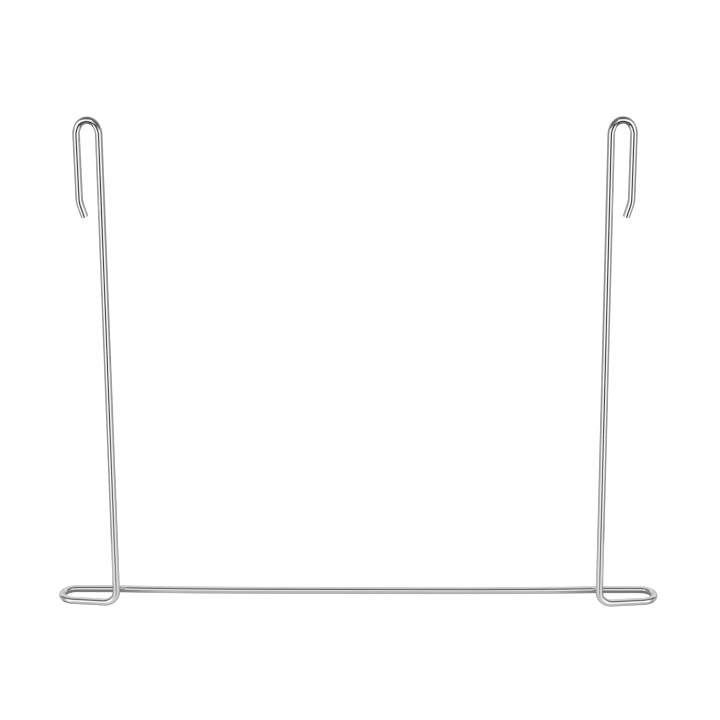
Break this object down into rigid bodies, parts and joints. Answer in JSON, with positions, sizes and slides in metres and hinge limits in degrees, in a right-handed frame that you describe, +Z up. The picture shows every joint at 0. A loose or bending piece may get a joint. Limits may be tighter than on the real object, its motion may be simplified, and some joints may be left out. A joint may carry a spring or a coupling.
{
  "type": "hook-on wire rack",
  "caption": "Bent-wire rack that hangs by a hook at the top of each leg, with a folded loop at each foot and a cross-bar behind the legs.",
  "frame": {"origin": "midway between the two hooks, level with the saddles that they hang by, in the plane of the legs", "axes": "+X along the cross-bar, +Y from the legs back to the cross-bar, +Z up when the rack hangs"},
  "size_m": [0.321, 0.0207, 0.2756],
  "materials": {
    "steel_wire": "bright drawn wire, polished or plated, with fine draw lines along it"
  },
  "bodies": {
    "root": {"left_hook": "steel_wire", "left_leg": "steel_wire", "left_end_loop": "steel_wire", "cross_bar": "steel_wire", "right_end_loop": "steel_wire", "right_leg": "steel_wire", "right_hook": "steel_wire"}
  },
  "joints": []
}
